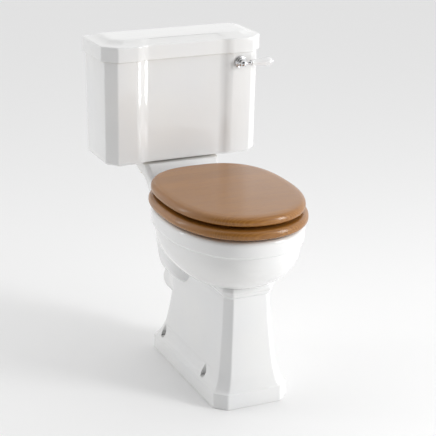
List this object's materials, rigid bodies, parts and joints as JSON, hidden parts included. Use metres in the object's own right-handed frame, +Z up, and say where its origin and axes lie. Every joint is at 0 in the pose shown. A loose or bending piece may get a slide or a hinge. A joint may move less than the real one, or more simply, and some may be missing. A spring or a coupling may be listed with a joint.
{
  "type": "close coupled toilet",
  "caption": "Traditional close coupled toilet: glazed china pan and cistern with a recessed front panel, hinged oak seat and cover, and a chrome side lever with a china grip.",
  "frame": {"origin": "on the floor, at the middle of the foot, where the cross web inside the foot stands on the floor", "axes": "+Z up, +Y towards the wall, +X to the right of a person who faces the toilet"},
  "size_m": [0.5, 0.739, 0.904],
  "materials": {
    "vitreous_china": "gloss white glaze",
    "oak": "lacquered golden oak",
    "chrome": "polished chrome plate",
    "grip_china": "gloss off-white glaze",
    "brass": "turned brass",
    "steel": "zinc plated",
    "rubber": "moulded black rubber",
    "white_plastic": "moulded white plastic",
    "grey_plastic": "moulded grey plastic"
  },
  "bodies": {
    "root": {"cistern": "vitreous_china", "coupling_bolt_left": "brass", "coupling_bolt_right": "brass", "coupling_nut_left": "brass", "coupling_nut_right": "brass", "coupling_plate": "steel", "coupling_washer_left": "rubber", "coupling_washer_right": "rubber", "doughnut_washer": "rubber", "fill_valve_back_nut": "white_plastic", "fill_valve_body": "white_plastic", "fill_valve_cap": "grey_plastic", "fill_valve_pin": "steel", "fill_valve_washer": "rubber", "hinge_bar": "chrome", "hinge_nut_left": "white_plastic", "hinge_nut_right": "white_plastic", "hinge_post_left": "chrome", "hinge_post_right": "chrome", "hinge_washer_left": "rubber", "hinge_washer_right": "rubber", "lever_back_nut": "brass", "lever_escutcheon": "chrome", "lever_gasket": "rubber", "pan": "vitreous_china", "siphon_back_nut": "white_plastic", "siphon_body": "white_plastic", "siphon_washer": "rubber"},
    "seat_ring": {"seat_ring": "oak", "ring_bracket_left": "chrome", "ring_bracket_right": "chrome", "ring_buffer_front_left": "rubber", "ring_buffer_front_right": "rubber", "ring_buffer_back_left": "rubber", "ring_buffer_back_right": "rubber"},
    "seat_cover": {"seat_cover": "oak", "cover_bracket_left": "chrome", "cover_bracket_right": "chrome", "cover_buffer_left": "rubber", "cover_buffer_right": "rubber"},
    "cistern_lid": {"cistern_lid": "vitreous_china"},
    "flush_lever": {"lever_hub": "chrome", "lever_collar": "chrome", "lever_grip": "grip_china", "lever_end_cap": "chrome", "lift_arm": "brass"},
    "siphon_plunger": {"siphon_rod": "grey_plastic", "lift_link": "brass"},
    "valve_float": {"fill_valve_float": "white_plastic", "fill_valve_link": "brass"},
    "valve_arm": {"fill_valve_arm": "grey_plastic"}
  },
  "joints": [
    {"name": "seat_ring_hinge", "type": "hinge", "parent": "root", "child": "seat_ring", "pos_m": [0, 0.187, 0.54], "axis": [1, 0, 0], "range_deg": [-90, 0]},
    {"name": "seat_cover_hinge", "type": "hinge", "parent": "seat_ring", "child": "seat_cover", "pos_m": [0, 0.187, 0.54], "axis": [-1, 0, 0], "range_deg": [0, 90]},
    {"name": "cistern_lid_lift", "type": "slide", "parent": "root", "child": "cistern_lid", "axis": [0, 0, 1], "range_m": [0, 0.1]},
    {"name": "flush_lever_turn", "type": "hinge", "parent": "root", "child": "flush_lever", "pos_m": [0.166, 0.215, 0.822], "axis": [0, 1, 0], "range_deg": [0, 20]},
    {"name": "siphon_lift", "type": "slide", "parent": "root", "child": "siphon_plunger", "axis": [0, 0, 1], "range_m": [0, 0.04]},
    {"name": "float_rise", "type": "slide", "parent": "root", "child": "valve_float", "axis": [0, 0, 1], "range_m": [0, 0.01]},
    {"name": "float_arm_tilt", "type": "hinge", "parent": "root", "child": "valve_arm", "pos_m": [-0.1648, 0.372, 0.805], "axis": [0, -1, 0], "range_deg": [0, 18]}
  ],
  "couplings": [
    {"joint": "siphon_lift", "follows": "flush_lever_turn", "m_per_rad": 0.0907},
    {"joint": "float_arm_tilt", "follows": "float_rise", "rad_per_m": 26}
  ]
}
